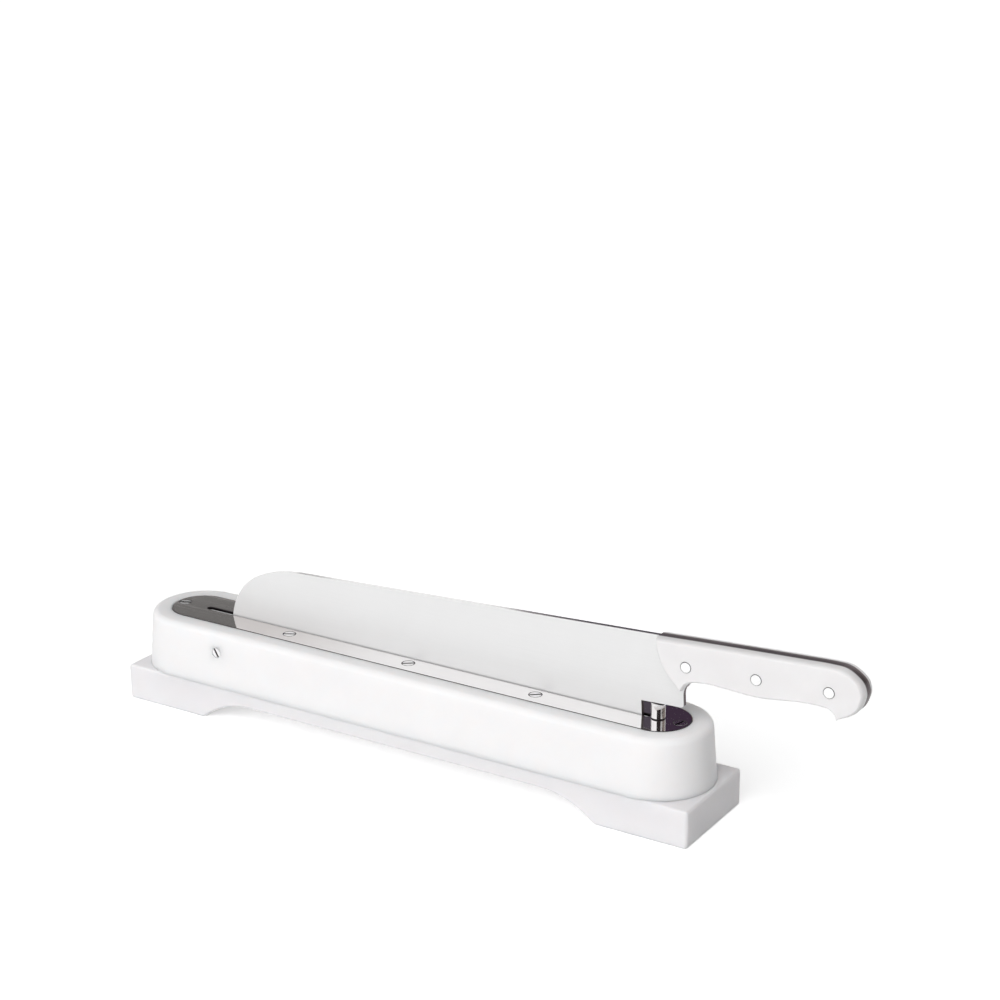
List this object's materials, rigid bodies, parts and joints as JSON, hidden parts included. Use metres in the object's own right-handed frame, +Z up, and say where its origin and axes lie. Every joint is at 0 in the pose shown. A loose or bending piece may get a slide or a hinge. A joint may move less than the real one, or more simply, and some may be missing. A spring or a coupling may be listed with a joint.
{
  "type": "salt cod cutter",
  "caption": "Bench cutter: a long knife with a riveted white handle, hinged in the slotted steel plate of a tapered white block, on a board with an arch under it.",
  "frame": {"origin": "on the surface that the cutter stands on, under the middle of its whole length and width", "axes": "+X from the pivot towards the handle, along the blade; +Y away from the front side; +Z up"},
  "size_m": [0.5128, 0.07, 0.1207],
  "materials": {
    "white_block": "machined white polyethylene, soft sheen, slightly translucent",
    "white_board": "sawn and planed white polyethylene sheet, fine straight machining marks",
    "polished_plate": "mirror polished stainless steel with faint lengthwise lines",
    "polished_post": "turned and polished stainless steel",
    "pivot_steel": "turned stainless steel with a milled driver slot",
    "screw_steel": "stainless steel screw head, turned rings, dark driver slot",
    "blade_steel": "even satin stainless steel, fine grain along the blade",
    "handle_plastic": "white acetal scales, low gloss",
    "rivet_metal": "ground flush with the scales"
  },
  "bodies": {
    "base": {"base_board": "white_board", "block": "white_block", "top_plate": "polished_plate", "stop_post": "polished_post", "pivot_barrel": "pivot_steel", "pivot_screw": "pivot_steel", "plate_screw_pivot_end": "screw_steel", "plate_screw_handle_end": "screw_steel", "plate_screw_near_left": "screw_steel", "plate_screw_near_middle": "screw_steel", "plate_screw_near_right": "screw_steel", "plate_screw_far_left": "screw_steel", "plate_screw_far_middle": "screw_steel", "plate_screw_far_right": "screw_steel", "board_screw_near_left": "screw_steel", "board_screw_near_middle": "screw_steel", "board_screw_near_right": "screw_steel", "board_screw_far_left": "screw_steel", "board_screw_far_middle": "screw_steel", "board_screw_far_right": "screw_steel"},
    "knife": {"blade": "blade_steel", "near_scale": "handle_plastic", "far_scale": "handle_plastic", "rivet_pin_front": "rivet_metal", "rivet_pin_middle": "rivet_metal", "rivet_pin_rear": "rivet_metal", "rivet_tube_front": "rivet_metal", "rivet_tube_middle": "rivet_metal", "rivet_tube_rear": "rivet_metal"}
  },
  "joints": [
    {"name": "knife_pivot", "type": "hinge", "parent": "base", "child": "knife", "pos_m": [-0.18215, 0, 0.0475], "axis": [0, -1, 0], "range_deg": [0, 60]}
  ]
}
